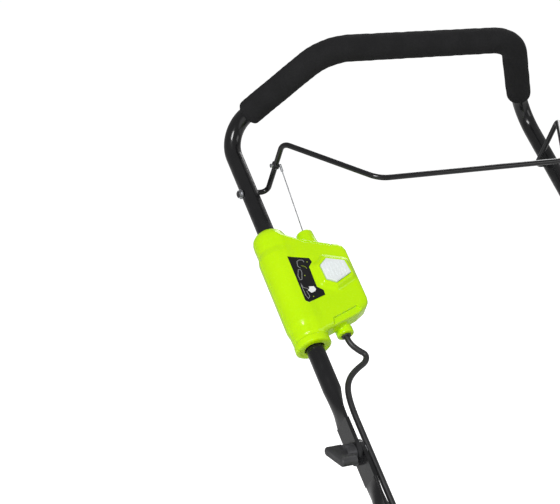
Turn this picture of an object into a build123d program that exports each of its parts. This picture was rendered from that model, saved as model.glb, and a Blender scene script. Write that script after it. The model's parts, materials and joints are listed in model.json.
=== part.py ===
from build123d import *
import os
from math import cos, sin, tan, radians, hypot

# Cordless push lawn mower, 400 mm cut, in millimetres.
# +Z is up, the mower's front faces -Y, +X is the operator's left.
# Z = 0 is the ground, and the origin is under the middle of the whole machine.

os.makedirs("parts", exist_ok=True)

# ---------------------------------------------------------------- driving dimensions
BLADE_Y = -314.0             # blade axis, forward of the middle of the machine
FIT = 0.05                   # radial clearance of every running fit

# deck
CHAMBER_R = 214.0
CHAMBER_WALL = 6.0
SKIRT_Z = 42.0
DECK_TOP = 165.0
DECK_SKIN = 5.0
BODY_HALF = 150.0            # half width of nose and tail
NOSE_Y = BLADE_Y - 308.0
TAIL_Y = BLADE_Y + 330.0
TAIL_TOP = 250.0
CHUTE_HALF = 120.0
CHUTE_FLOOR = 115.0
CHUTE_ROOF = 240.0
FLAP_Y = TAIL_Y - 14.0
FLAP_Z = TAIL_TOP + 9.0

# wheels and height adjustment
REAR_WHEEL_R = 90.0
FRONT_WHEEL_R = 75.0
WHEEL_WIDTH = 40.0
WHEEL_X = 183.0
AXLE_R = 6.0
CRANK = 45.0                 # pivot to spindle
CRANK_TILT = 15.0            # spindle below the pivot, degrees
HORN = 95.0                  # pivot to link pin
FRONT_PIVOT_Y = BLADE_Y - 285.0
REAR_PIVOT_Y = BLADE_Y + 236.0
ARM_X = 151.0                # inner face of the crank arms
ARM_T = 5.0

# handle
HANDLE_ANGLE = 40.0          # tubes above the horizontal
TUBE_R = 11.1
TUBE_WALL = 1.3
TUBE_X = 235.0
BRACKET_Y = BLADE_Y + 235.0
BRACKET_Z = 255.0
LOWER_LENGTH = 469.0         # bracket pivot to fold pivot
FOLD_BELOW = 385.0           # fold pivot to bail pivot
BEND_ABOVE = 103.0           # bail pivot to the upper bend
GRIP_STEP = (93.0, -108.0, 116.0)   # upper bend to the crossbar corner
FOAM_R = 17.3
ROD_R = 3.5
BAIL_LEG_X = 25.0            # bail leg, inward of its tube
BAIL_CORNER = (-45.0, 70.0)  # forward and up from the bail pivot
BAIL_STEP = (73.0, -117.0, -30.0)
EYE_REACH = 46.0             # bail pivot to the wire eye, along the leg
CABLE_R = 3.75

COS_A = cos(radians(HANDLE_ANGLE))
SIN_A = sin(radians(HANDLE_ANGLE))
PIVOT_Y = BRACKET_Y + (LOWER_LENGTH + FOLD_BELOW) * COS_A
PIVOT_Z = BRACKET_Z + (LOWER_LENGTH + FOLD_BELOW) * SIN_A
SIDES = {"right": -1, "left": 1}


def save(piece, name):
    """Name a finished piece and write its STEP file."""
    piece.part.label = name
    export_step(piece.part, f"parts/{name}.step")


def on_handle(x, along, rise=0.0):
    """A point of the handle: along is up the tube from the bail pivot, rise is square to it."""
    return Vector(
        x,
        PIVOT_Y + along * COS_A - rise * SIN_A,
        PIVOT_Z + along * SIN_A + rise * COS_A,
    )


def handle_face(x, along, rise=0.0):
    """A plane parallel to the two tubes: X across, Y up the tube, Z out of the switch box's face."""
    return Plane(on_handle(x, along, rise), x_dir=(1, 0, 0), z_dir=(0, -SIN_A, COS_A))


def tube_section(x, along, rise=0.0):
    """A plane square to the tubes, looking up them."""
    return Plane(on_handle(x, along, rise), x_dir=(1, 0, 0), z_dir=(0, COS_A, SIN_A))


def side_plane(x, y=0.0, z=0.0):
    """A plane facing +X whose X is the mower's Y and whose Y is the mower's Z."""
    return Plane((x, y, z), x_dir=(0, 1, 0), z_dir=(1, 0, 0))


# ---------------------------------------------------------------- deck
with BuildPart() as deck_shell:
    # the plan: a round chamber with a nose and a tail
    with BuildSketch(Plane.XY.offset(SKIRT_Z)) as deck_plan:
        with Locations((0, BLADE_Y)):
            Circle(CHAMBER_R + CHAMBER_WALL)
        with Locations((0, (NOSE_Y + TAIL_Y) / 2)):
            Rectangle(2 * BODY_HALF, TAIL_Y - NOSE_Y)
        nose_corners = deck_plan.vertices().group_by(Axis.Y)[0]
        fillet(nose_corners, 60)
    extrude(amount=DECK_TOP - SKIRT_Z)
    fillet(deck_shell.edges().group_by(Axis.Z)[-1], 12)
    # the tail rises to the discharge opening
    tail_points = [
        (BLADE_Y + 60, SKIRT_Z),
        (BLADE_Y + 60, DECK_TOP),
        (BLADE_Y + 150, DECK_TOP),
        (BLADE_Y + 200, TAIL_TOP),
        (TAIL_Y, TAIL_TOP),
        (TAIL_Y, SKIRT_Z),
    ]
    with BuildSketch(side_plane(-BODY_HALF)):
        Polygon(*tail_points, align=None)
    extrude(amount=2 * BODY_HALF)
    ring_outer = CHAMBER_R + CHAMBER_WALL
    inner_height = DECK_TOP - DECK_SKIN - SKIRT_Z
    # blade chamber
    with BuildSketch(Plane.XY.offset(SKIRT_Z)):
        with Locations((0, BLADE_Y)):
            Circle(CHAMBER_R)
    extrude(amount=inner_height, mode=Mode.SUBTRACT)
    # hollow nose, ahead of the chamber wall
    with BuildSketch(Plane.XY.offset(SKIRT_Z)):
        with Locations((0, (NOSE_Y + BLADE_Y) / 2)):
            RectangleRounded(2 * BODY_HALF - 12, BLADE_Y - NOSE_Y - 12, 50)
        with Locations((0, BLADE_Y)):
            Circle(ring_outer, mode=Mode.SUBTRACT)
            Rectangle(2 * ring_outer, 100, mode=Mode.SUBTRACT)
    extrude(amount=inner_height, mode=Mode.SUBTRACT)
    # hollow under the chute floor, where the rear axle runs
    with BuildSketch(Plane.XY.offset(SKIRT_Z)):
        with Locations((0, (BLADE_Y + TAIL_Y) / 2)):
            Rectangle(2 * BODY_HALF - 10, TAIL_Y - BLADE_Y - 10)
        with Locations((0, BLADE_Y)):
            Circle(ring_outer, mode=Mode.SUBTRACT)
    extrude(amount=CHUTE_FLOOR - 5 - SKIRT_Z, mode=Mode.SUBTRACT)
    # discharge chute, from the chamber to the tail's end
    chute_points = [
        (BLADE_Y + 100, CHUTE_FLOOR),
        (BLADE_Y + 100, DECK_TOP - DECK_SKIN),
        (BLADE_Y + 160, DECK_TOP - DECK_SKIN),
        (BLADE_Y + 207, CHUTE_ROOF),
        (TAIL_Y + 1, CHUTE_ROOF),
        (TAIL_Y + 1, CHUTE_FLOOR),
    ]
    with BuildSketch(side_plane(-CHUTE_HALF)):
        Polygon(*chute_points, align=None)
    extrude(amount=2 * CHUTE_HALF, mode=Mode.SUBTRACT)
    # pockets beside the chute
    pocket_points = [
        (BLADE_Y + 215, CHUTE_FLOOR),
        (BLADE_Y + 215, CHUTE_ROOF - 4),
        (TAIL_Y - 6, CHUTE_ROOF - 4),
        (TAIL_Y - 6, CHUTE_FLOOR),
    ]
    for pocket_x in (-BODY_HALF + 6, CHUTE_HALF + 5):
        with BuildSketch(side_plane(pocket_x)):
            Polygon(*pocket_points, align=None)
        extrude(amount=BODY_HALF - CHUTE_HALF - 11, mode=Mode.SUBTRACT)
    # motor opening and its four screw holes
    with BuildSketch(Plane.XY.offset(SKIRT_Z)):
        with Locations((0, BLADE_Y)):
            Circle(40)
            with PolarLocations(84, 4, start_angle=45):
                Circle(3.2)
    extrude(amount=DECK_TOP, mode=Mode.SUBTRACT)
    # axle bores
    axle_reach = 2 * BODY_HALF + 20
    for pivot_y, wheel_r in ((FRONT_PIVOT_Y, FRONT_WHEEL_R), (REAR_PIVOT_Y, REAR_WHEEL_R)):
        pivot_z = wheel_r + CRANK * sin(radians(CRANK_TILT))
        with BuildSketch(side_plane(-axle_reach / 2, pivot_y, pivot_z)):
            Circle(AXLE_R + FIT)
        extrude(amount=axle_reach, mode=Mode.SUBTRACT)
    # ears that carry the flap's hinge rod
    for ear_x in (-BODY_HALF, BODY_HALF - 4):
        with BuildSketch(side_plane(ear_x, FLAP_Y, FLAP_Z)):
            with Locations((0, -5)):
                Rectangle(18, 10)
            Circle(9)
            Circle(3 + FIT, mode=Mode.SUBTRACT)
        extrude(amount=4)
save(deck_shell, "deck_shell")

# the hinge rod of the rear flap runs through the two ears on the tail
with BuildPart() as flap_rod:
    with BuildSketch(side_plane(-BODY_HALF - 4, FLAP_Y, FLAP_Z)):
        Circle(3)
    extrude(amount=2 * BODY_HALF + 8)
save(flap_rod, "flap_rod")

# ---------------------------------------------------------------- handle brackets
for name, side in SIDES.items():
    bracket_inner = side * (BODY_HALF + 0.3)
    with BuildPart() as bracket:
        with BuildSketch(side_plane(bracket_inner, BRACKET_Y, BRACKET_Z)):
            with Locations((5, -16)):
                RectangleRounded(96, 62, 12)
            Circle(4 + FIT, mode=Mode.SUBTRACT)
        extrude(amount=side * 3)
        with BuildSketch(side_plane(bracket_inner + side * 3, BRACKET_Y, BRACKET_Z)):
            with Locations((-30, -30), (40, -30)):
                Circle(6)
        extrude(amount=side * 3)
        fillet(bracket.faces().sort_by(Axis.X)[-1 if side > 0 else 0].edges(), 1.5)
    save(bracket, f"handle_bracket_{name}")

# ---------------------------------------------------------------- motor and blade
PLATE_T = 3.0
MOTOR_Z = DECK_TOP + PLATE_T
MOTOR_TOP = MOTOR_Z + 58.0
SHAFT_R = 8.5
BLADE_Z = 56.0

with BuildPart() as motor_plate:
    with BuildSketch(Plane.XY.offset(DECK_TOP)):
        with Locations((0, BLADE_Y)):
            Circle(100)
            Circle(SHAFT_R + 1, mode=Mode.SUBTRACT)
            with PolarLocations(84, 4, start_angle=45):
                Circle(3.2, mode=Mode.SUBTRACT)
    extrude(amount=PLATE_T)
save(motor_plate, "motor_plate")

with BuildPart() as motor_screws:
    with BuildSketch(Plane.XY.offset(MOTOR_Z)):
        with Locations((0, BLADE_Y)):
            with PolarLocations(84, 4, start_angle=45):
                RegularPolygon(5.8, 6)
    extrude(amount=4)
    with BuildSketch(Plane.XY.offset(DECK_TOP - DECK_SKIN - 4)):
        with Locations((0, BLADE_Y)):
            with PolarLocations(84, 4, start_angle=45):
                Circle(3)
    extrude(amount=DECK_SKIN + 4 + PLATE_T)
save(motor_screws, "motor_screws")

with BuildPart() as motor_housing:
    with BuildSketch(Plane.XY.offset(MOTOR_Z)):
        with Locations((0, BLADE_Y)):
            Circle(70)
            with PolarLocations(71, 24):
                Rectangle(6, 5, mode=Mode.SUBTRACT)
            Circle(SHAFT_R + FIT, mode=Mode.SUBTRACT)
    extrude(amount=MOTOR_TOP - MOTOR_Z)
    chamfer(motor_housing.faces().sort_by(Axis.Z)[-1].edges().filter_by(GeomType.CIRCLE), 1)
save(motor_housing, "motor_housing")

with BuildPart() as motor_shaft:
    with BuildSketch(Plane.XY.offset(BLADE_Z + 12)):
        with Locations((0, BLADE_Y)):
            Circle(SHAFT_R)
    extrude(amount=MOTOR_TOP - 4 - BLADE_Z - 12)
save(motor_shaft, "motor_shaft")

with BuildPart() as blade_adapter:
    with BuildSketch(Plane.XY.offset(BLADE_Z + 4)):
        with Locations((0, BLADE_Y)):
            Circle(38)
    extrude(amount=8)
    with BuildSketch(Plane.XY.offset(BLADE_Z + 12)):
        with Locations((0, BLADE_Y)):
            Circle(20)
            Circle(SHAFT_R + FIT, mode=Mode.SUBTRACT)
            with PolarLocations(28, 8):
                Rectangle(18, 3)
    extrude(amount=24)
save(blade_adapter, "blade_adapter")

BLADE_LENGTH = 400.0
BLADE_WIDTH = 52.0
with BuildPart() as blade:
    with BuildSketch(Plane.XY.offset(BLADE_Z)):
        with Locations((0, BLADE_Y)):
            RectangleRounded(BLADE_LENGTH, BLADE_WIDTH, 6)
            for notch_side in (-1, 1):
                with Locations((notch_side * 105, -notch_side * 34)):
                    RectangleRounded(90, 32, 8, mode=Mode.SUBTRACT)
    extrude(amount=3.8)
    for wing_side in (-1, 1):
        wing_y = BLADE_Y + wing_side * (BLADE_WIDTH / 2 - 2)
        wing_place = (wing_side * 165, wing_y, BLADE_Z + 3)
        wing = Plane(wing_place, x_dir=(1, 0, 0), z_dir=(0, -wing_side * 0.5, 0.87))
        with BuildSketch(wing):
            RectangleRounded(56, 16, 1.4)
        extrude(amount=3)
save(blade, "blade")

with BuildPart() as blade_bolt:
    with BuildSketch(Plane.XY.offset(BLADE_Z - 9)):
        with Locations((0, BLADE_Y)):
            RegularPolygon(9.5, 6)
    extrude(amount=7)
    with BuildSketch(Plane.XY.offset(BLADE_Z - 2)):
        with Locations((0, BLADE_Y)):
            Circle(14)
    extrude(amount=2)
save(blade_bolt, "blade_bolt")

with BuildPart() as controller_board:
    with BuildSketch(Plane.XY.offset(DECK_TOP + 4)):
        with Locations((0, BLADE_Y - 135)):
            RectangleRounded(120, 62, 3)
    extrude(amount=2)
    with BuildSketch(Plane.XY.offset(DECK_TOP + 6)):
        with Locations((0, BLADE_Y - 135)):
            with GridLocations(12, 1, 7, 1):
                Rectangle(3, 46)
    extrude(amount=18)
    with BuildSketch(Plane.XY.offset(DECK_TOP + 0.2)):
        with Locations((0, BLADE_Y - 135)):
            with GridLocations(104, 46, 2, 2):
                Circle(3)
    extrude(amount=3.8)
save(controller_board, "controller_board")

# ---------------------------------------------------------------- motor cover and battery
COVER_Y = BLADE_Y - 40.0
COVER_T = 3.0
COVER_TOP = 296.0
COVER_BASE = DECK_TOP + 0.3
PACK = (98.0, 150.0, 84.0)   # battery pack across, along and high
PACK_Z = 246.0
BAY_WALL = 3.0
KEY_X = 84.0


def cover_loft(inset):
    """The cover's body as a stack of rounded rectangles that shrink towards the top."""
    sections = ((0, 296, 364, 70), (58, 284, 348, 72), (COVER_TOP - COVER_BASE, 236, 290, 62))
    with BuildPart() as body:
        for rise, across, along, corner in sections:
            level = COVER_BASE + rise - (inset if rise > 60 else 0)
            with BuildSketch(Plane.XY.offset(level)):
                with Locations((0, COVER_Y)):
                    RectangleRounded(across - 2 * inset, along - 2 * inset, corner - inset)
        loft()
        if inset == 0:
            fillet(body.faces().sort_by(Axis.Z)[-1].edges(), 18)
    return body.part


with BuildPart() as motor_cover:
    add(cover_loft(0))
    add(cover_loft(COVER_T + 2), mode=Mode.SUBTRACT)
    with BuildSketch(Plane.XY.offset(COVER_TOP - 20)):
        with Locations((0, BLADE_Y)):
            RectangleRounded(PACK[0] + 8.6, PACK[1] + 8.6, 12)
        with Locations((KEY_X, BLADE_Y)):
            RectangleRounded(13, 21, 3)
    extrude(amount=40, mode=Mode.SUBTRACT)
    # cooling slots on both flanks
    for slot_side in (-1, 1):
        with BuildSketch(side_plane(slot_side * 110, COVER_Y, COVER_BASE + 46)):
            with GridLocations(17, 1, 11, 1):
                SlotOverall(48, 6, rotation=68)
        extrude(amount=slot_side * 60, mode=Mode.SUBTRACT)
save(motor_cover, "motor_cover")

with BuildPart() as battery_bay:
    with BuildSketch(Plane.XY.offset(PACK_Z - 6)):
        with Locations((0, BLADE_Y)):
            RectangleRounded(PACK[0] + 8, PACK[1] + 8, 11.5)
    extrude(amount=COVER_TOP + 2 - PACK_Z + 6)
    with BuildSketch(Plane.XY.offset(PACK_Z - 3)):
        with Locations((0, BLADE_Y)):
            RectangleRounded(PACK[0] + 2, PACK[1] + 2, 8.5)
    extrude(amount=80, mode=Mode.SUBTRACT)
save(battery_bay, "battery_bay")

with BuildPart() as battery_pack:
    with BuildSketch(Plane.XY.offset(PACK_Z - 2.7)):
        with Locations((0, BLADE_Y)):
            RectangleRounded(PACK[0], PACK[1], 8)
    extrude(amount=PACK[2])
    pack_top = PACK_Z - 2.7 + PACK[2]
    fillet(battery_pack.faces().sort_by(Axis.Z)[-1].edges(), 6)
    # finger recess under the carrying bar
    with BuildSketch(Plane.XY.offset(pack_top - 16)):
        with Locations((0, BLADE_Y + 30)):
            RectangleRounded(74, 40, 8)
    extrude(amount=20, mode=Mode.SUBTRACT)
    # seat of the release button
    with BuildSketch(Plane.XY.offset(pack_top - 9)):
        with Locations((0, BLADE_Y - 40)):
            RectangleRounded(40, 22, 4)
    extrude(amount=12, mode=Mode.SUBTRACT)
save(battery_pack, "battery_pack")

with BuildPart() as battery_latch:
    with BuildSketch(Plane.XY.offset(pack_top - 5)):
        with Locations((0, BLADE_Y - 40)):
            RectangleRounded(39, 21, 3.5)
    extrude(amount=8)
    fillet(battery_latch.faces().sort_by(Axis.Z)[-1].edges(), 2)
save(battery_latch, "battery_latch")

with BuildPart() as safety_key:
    with BuildSketch(Plane.XY.offset(COVER_TOP - 22)):
        with Locations((KEY_X, BLADE_Y)):
            RectangleRounded(8, 14, 2)
    extrude(amount=24)
    with BuildSketch(Plane.XY.offset(COVER_TOP + 2)):
        with Locations((KEY_X, BLADE_Y)):
            RectangleRounded(14, 34, 6)
    extrude(amount=16)
    fillet(safety_key.faces().sort_by(Axis.Z)[-1].edges(), 3)
save(safety_key, "safety_key")

# ---------------------------------------------------------------- wheels and height adjustment
RIM_DEPTH = 15.0
for end, pivot_y, wheel_r in (("front", FRONT_PIVOT_Y, FRONT_WHEEL_R), ("rear", REAR_PIVOT_Y, REAR_WHEEL_R)):
    spindle_y = pivot_y + CRANK * cos(radians(CRANK_TILT))
    rim_r = wheel_r - RIM_DEPTH
    for name, side in SIDES.items():
        inner_x = side * (WHEEL_X - WHEEL_WIDTH / 2)
        outer = Plane((side * WHEEL_X, spindle_y, wheel_r), x_dir=(0, 1, 0), z_dir=(1, 0, 0))
        with BuildPart() as tyre:
            with BuildSketch(outer):
                Circle(wheel_r)
                Circle(rim_r, mode=Mode.SUBTRACT)
            extrude(amount=WHEEL_WIDTH / 2, both=True)
            fillet(tyre.edges().filter_by(GeomType.CIRCLE).group_by(SortBy.RADIUS)[-1], 5)
            with BuildSketch(outer):
                with PolarLocations(wheel_r, 36):
                    Rectangle(4, 4.5)
            extrude(amount=WHEEL_WIDTH / 2 - 6, both=True, mode=Mode.SUBTRACT)
        save(tyre, f"tyre_{end}_{name}")
        with BuildPart() as rim:
            with BuildSketch(outer):
                Circle(rim_r)
                Circle(rim_r - 4, mode=Mode.SUBTRACT)
            extrude(amount=WHEEL_WIDTH / 2 - 1, both=True)
            with BuildSketch(outer):
                Circle(rim_r - 3)
                with PolarLocations(rim_r * 0.62, 8):
                    Circle(rim_r * 0.15, mode=Mode.SUBTRACT)
            extrude(amount=3, both=True)
            with BuildSketch(outer):
                Circle(14)
            extrude(amount=WHEEL_WIDTH / 2 - 1, both=True)
            # domed cap that closes the hub on the outside
            with BuildSketch(outer):
                Circle(24)
            extrude(amount=side * (WHEEL_WIDTH / 2 + 3))
            fillet(rim.faces().sort_by(Axis.X)[-1 if side > 0 else 0].edges(), 4)
            with BuildSketch(outer.offset(-side * WHEEL_WIDTH)):
                Circle(AXLE_R + FIT)
            extrude(amount=side * (1.5 * WHEEL_WIDTH - 1), mode=Mode.SUBTRACT)
        save(rim, f"wheel_{end}_{name}")

    # crank axle: a rod through the deck, an arm on each side, a spindle on each arm
    pivot_z = wheel_r + CRANK * sin(radians(CRANK_TILT))
    with BuildPart() as axle:
        with BuildSketch(side_plane(-ARM_X - ARM_T, pivot_y, pivot_z)):
            Circle(AXLE_R)
        extrude(amount=2 * (ARM_X + ARM_T))
        for name, side in SIDES.items():
            with BuildSketch(side_plane(side * ARM_X)):
                with Locations((pivot_y, pivot_z), (spindle_y, wheel_r)):
                    Circle(11)
                arm_middle = ((pivot_y + spindle_y) / 2, (pivot_z + wheel_r) / 2)
                with Locations(arm_middle):
                    Rectangle(CRANK, 22, rotation=-CRANK_TILT)
                if side > 0:
                    with Locations((pivot_y, pivot_z + HORN / 2)):
                        Rectangle(16, HORN)
                    with Locations((pivot_y, pivot_z + HORN)):
                        Circle(8)
                        Circle(3 + FIT, mode=Mode.SUBTRACT)
            extrude(amount=side * ARM_T)
            with BuildSketch(side_plane(side * (ARM_X + ARM_T), spindle_y, wheel_r)):
                Circle(AXLE_R)
            extrude(amount=side * (WHEEL_X + WHEEL_WIDTH / 2 - 1.5 - ARM_X - ARM_T))
    save(axle, f"{end}_axle")

FRONT_PIVOT_Z = FRONT_WHEEL_R + CRANK * sin(radians(CRANK_TILT))
REAR_PIVOT_Z = REAR_WHEEL_R + CRANK * sin(radians(CRANK_TILT))
LINK_X = ARM_X + ARM_T + 0.4
LINK_T = 4.0
front_pin = Vector(LINK_X, FRONT_PIVOT_Y, FRONT_PIVOT_Z + HORN)
rear_pin = Vector(LINK_X, REAR_PIVOT_Y, REAR_PIVOT_Z + HORN)
link_run = rear_pin - front_pin
with BuildPart() as link_rod:
    with BuildSketch(Plane(front_pin, x_dir=link_run, z_dir=(1, 0, 0))):
        with Locations((link_run.length / 2, 0)):
            SlotOverall(link_run.length + 14, 14)
        with Locations((link_run.length, 0)):
            Circle(4, mode=Mode.SUBTRACT)
    extrude(amount=LINK_T)
    # pin in the front horn; the rear eye is drawn open, round a pin left out
    with BuildSketch(side_plane(ARM_X, front_pin.Y, front_pin.Z)):
        Circle(3)
    extrude(amount=ARM_T + 0.4)
save(link_rod, "link_rod")

# height lever, which carries the front horn upwards, and its notched sector on the nose
LEVER_REACH = 178.0
with BuildPart() as height_lever:
    with BuildSketch(side_plane(ARM_X, FRONT_PIVOT_Y, FRONT_PIVOT_Z)):
        with Locations((0, (HORN + 8 + LEVER_REACH) / 2)):
            Rectangle(13, LEVER_REACH - HORN - 8)
    extrude(amount=ARM_T)
    with BuildSketch(side_plane(ARM_X - 6, FRONT_PIVOT_Y, FRONT_PIVOT_Z + LEVER_REACH)):
        RectangleRounded(22, 58, 10)
    extrude(amount=17)
    fillet(height_lever.faces().sort_by(Axis.X)[0].edges(), 4)
    fillet(height_lever.faces().sort_by(Axis.X)[-1].edges(), 4)
save(height_lever, "height_lever")

SECTOR_R = 128.0
with BuildPart() as height_sector:
    with BuildSketch(side_plane(ARM_X - 9, FRONT_PIVOT_Y, FRONT_PIVOT_Z)):
        Circle(SECTOR_R + 8)
        Circle(SECTOR_R - 12, mode=Mode.SUBTRACT)
        with PolarLocations(SECTOR_R + 8, 7, start_angle=62, angular_range=56):
            Circle(3, mode=Mode.SUBTRACT)
        with Locations((0, -90)):
            Rectangle(400, 320, mode=Mode.SUBTRACT)
        with Locations((150, 60), (-125, 60)):
            Rectangle(150, 300, mode=Mode.SUBTRACT)
        # foot that reaches down to the nose
        with Locations((38, DECK_TOP - FRONT_PIVOT_Z + 18.5)):
            Rectangle(22, 36)
    extrude(amount=4)
save(height_sector, "height_sector")

# ---------------------------------------------------------------- rear flap and grass bag
FLAP_LENGTH = 128.0
FLAP_HALF = 141.0
with BuildPart() as rear_flap:
    with BuildSketch(side_plane(-FLAP_HALF, FLAP_Y, FLAP_Z)):
        Circle(7)
        with Locations((FLAP_LENGTH / 2, 4)):
            RectangleRounded(FLAP_LENGTH, 6, 2.9)
        Circle(3 + FIT, mode=Mode.SUBTRACT)
    extrude(amount=2 * FLAP_HALF)
    for rib in range(-2, 3):
        with BuildSketch(side_plane(rib * 55 - 2, FLAP_Y, FLAP_Z)):
            with Locations((66, 8)):
                RectangleRounded(96, 8, 3)
        extrude(amount=4)
save(rear_flap, "rear_flap")

BAG_FRONT = TAIL_Y + 5.0
BAG_HALF = 158.0
BAG_T = 3.0
BAG_PROFILE = ((0, 84), (0, 226), (330, 240), (352, 196), (300, 92), (60, 78))


with BuildPart() as bag_fabric:
    with BuildSketch(side_plane(-BAG_HALF, BAG_FRONT)) as bag_side:
        Polygon(*BAG_PROFILE, align=None)
        fillet(bag_side.vertices().sort_by(Axis.Y)[-4:], 26)
    extrude(amount=2 * BAG_HALF)
    with BuildSketch(side_plane(-BAG_HALF + BAG_T, BAG_FRONT)) as bag_inside:
        Polygon(*BAG_PROFILE, align=None)
        fillet(bag_inside.vertices().sort_by(Axis.Y)[-4:], 26)
        offset(amount=-BAG_T)
        with Locations((0, 155)):
            Rectangle(20, 128)
    extrude(amount=2 * (BAG_HALF - BAG_T), mode=Mode.SUBTRACT)
save(bag_fabric, "bag_fabric")

# steel wire frame round the mouth, with two tongues that slide into the tail's sides
with BuildPart() as bag_frame:
    with BuildSketch(Plane((0, BAG_FRONT - 3.2, 155), x_dir=(1, 0, 0), z_dir=(0, -1, 0))):
        RectangleRounded(2 * BAG_HALF, 150, 14)
        RectangleRounded(2 * BAG_HALF - 16, 134, 8, mode=Mode.SUBTRACT)
    extrude(amount=-3)
save(bag_frame, "bag_frame")

with BuildPart() as bag_lid:
    lid_low = 243.0
    with BuildSketch(Plane.XY.offset(lid_low)):
        with Locations((0, BAG_FRONT + 171)):
            RectangleRounded(2 * BAG_HALF + 4, 338, 24)
    extrude(amount=7)
    fillet(bag_lid.faces().sort_by(Axis.Z)[-1].edges(), 3)
    # carrying handle
    with BuildSketch(side_plane(-60, BAG_FRONT + 215, lid_low + 6)):
        with Locations((0, 14)):
            RectangleRounded(30, 30, 12)
    extrude(amount=120)
    with BuildSketch(side_plane(-48, BAG_FRONT + 215, lid_low + 7)):
        with Locations((0, 8)):
            Rectangle(40, 22)
    extrude(amount=96, mode=Mode.SUBTRACT)
save(bag_lid, "bag_lid")

# ---------------------------------------------------------------- lower handle tubes
LOWER_X = 168.0
FOLD_Y, FOLD_Z = on_handle(0, -FOLD_BELOW).Y, on_handle(0, -FOLD_BELOW).Z
LOWER_ROOT = -FOLD_BELOW - LOWER_LENGTH
PLATE_W = 30.0
TUBE_PLATE = 5.0
UPPER_PLATE_X = TUBE_X + 4.0
LOWER_PLATE_X = UPPER_PLATE_X - TUBE_PLATE - 0.4
ROOT_PLATE_X = BODY_HALF + 0.3 + 3 + 0.4 + TUBE_PLATE / 2


def end_plate(x, pivot_along, tube_along):
    """A crushed tube end: a flat eye round the pivot, reaching to where the tube is round."""
    run = tube_along - pivot_along
    plane = Plane(on_handle(x - TUBE_PLATE / 2, pivot_along), x_dir=(0, COS_A, SIN_A), z_dir=(1, 0, 0))
    with BuildPart() as plate:
        with BuildSketch(plane):
            Circle(PLATE_W / 2)
            with Locations((run / 2, 0)):
                Rectangle(abs(run), PLATE_W)
            Circle(4 + FIT, mode=Mode.SUBTRACT)
        extrude(amount=TUBE_PLATE)
    return plate.part


for name, side in SIDES.items():
    flat_low = LOWER_ROOT + 26
    round_low = LOWER_ROOT + 62
    round_high = -FOLD_BELOW - 85
    flat_high = -FOLD_BELOW - 38
    with BuildPart() as lower_tube:
        with BuildLine() as lower_path:
            FilletPolyline(
                on_handle(side * LOWER_X, round_low),
                on_handle(side * LOWER_X, round_low + 45),
                on_handle(side * TUBE_X, round_low + 175),
                on_handle(side * TUBE_X, round_high),
                radius=60,
            )
        with BuildSketch(tube_section(side * LOWER_X, round_low)):
            Circle(TUBE_R)
            Circle(TUBE_R - TUBE_WALL, mode=Mode.SUBTRACT)
        sweep(path=lower_path.wires()[0])
        for round_x, round_end, plate_x, flat_end in (
            (LOWER_X, round_low, ROOT_PLATE_X, flat_low),
            (TUBE_X, round_high, LOWER_PLATE_X, flat_high),
        ):
            with BuildSketch(tube_section(side * round_x, round_end)):
                Circle(TUBE_R)
            with BuildSketch(tube_section(side * plate_x, flat_end)):
                RectangleRounded(TUBE_PLATE, PLATE_W, 2.4)
            loft()
        add(end_plate(side * ROOT_PLATE_X, LOWER_ROOT, flat_low))
        add(end_plate(side * LOWER_PLATE_X, -FOLD_BELOW, flat_high))
    save(lower_tube, f"lower_tube_{name}")


def wing_knob(side, seat_x, pivot, stud):
    """A moulded wing knob on a threaded stud; seat_x is its face, out from the middle."""
    with BuildPart() as knob:
        with BuildSketch(side_plane(side * seat_x, *pivot)):
            Circle(12)
        extrude(amount=side * 12)
        with BuildSketch(side_plane(side * (seat_x + 6), *pivot)):
            SlotOverall(46, 11)
        extrude(amount=side * 20)
        fillet(knob.faces().sort_by(Axis.X)[-1 if side > 0 else 0].edges(), 3)
        if stud:
            with BuildSketch(side_plane(side * seat_x, *pivot)):
                Circle(4)
            extrude(amount=-side * stud)
        else:
            with BuildSketch(side_plane(side * seat_x, *pivot)):
                Circle(4 + FIT)
            extrude(amount=side * 15, mode=Mode.SUBTRACT)
    return knob


for name, side in SIDES.items():
    seat = ROOT_PLATE_X + TUBE_PLATE / 2 + 0.4
    bracket_knob = wing_knob(side, seat, (BRACKET_Y, BRACKET_Z), 8.6)
    save(bracket_knob, f"bracket_knob_{name}")
    seat = UPPER_PLATE_X + TUBE_PLATE / 2 + 0.4
    fold_knob = wing_knob(side, seat, (FOLD_Y, FOLD_Z), 0)
    save(fold_knob, f"fold_knob_{name}")

with BuildPart() as fold_bolts:
    for side in SIDES.values():
        head_x = LOWER_PLATE_X - TUBE_PLATE / 2 - 0.1
        with BuildSketch(side_plane(side * head_x, FOLD_Y, FOLD_Z)):
            Circle(9)
        extrude(amount=-side * 4)
        with BuildSketch(side_plane(side * head_x, FOLD_Y, FOLD_Z)):
            Circle(4)
        extrude(amount=side * 24)
save(fold_bolts, "fold_bolts")

# ---------------------------------------------------------------- upper handle
BEND_R = 40.0
CORNER_R = 60.0
ROUND_END = -FOLD_BELOW + 85
FLAT_END = -FOLD_BELOW + 40


def grip_corner(side):
    """Where the sloping grip meets the crossbar."""
    bend = on_handle(side * TUBE_X, BEND_ABOVE)
    return bend + Vector(-side * GRIP_STEP[0], GRIP_STEP[1], GRIP_STEP[2])


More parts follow.
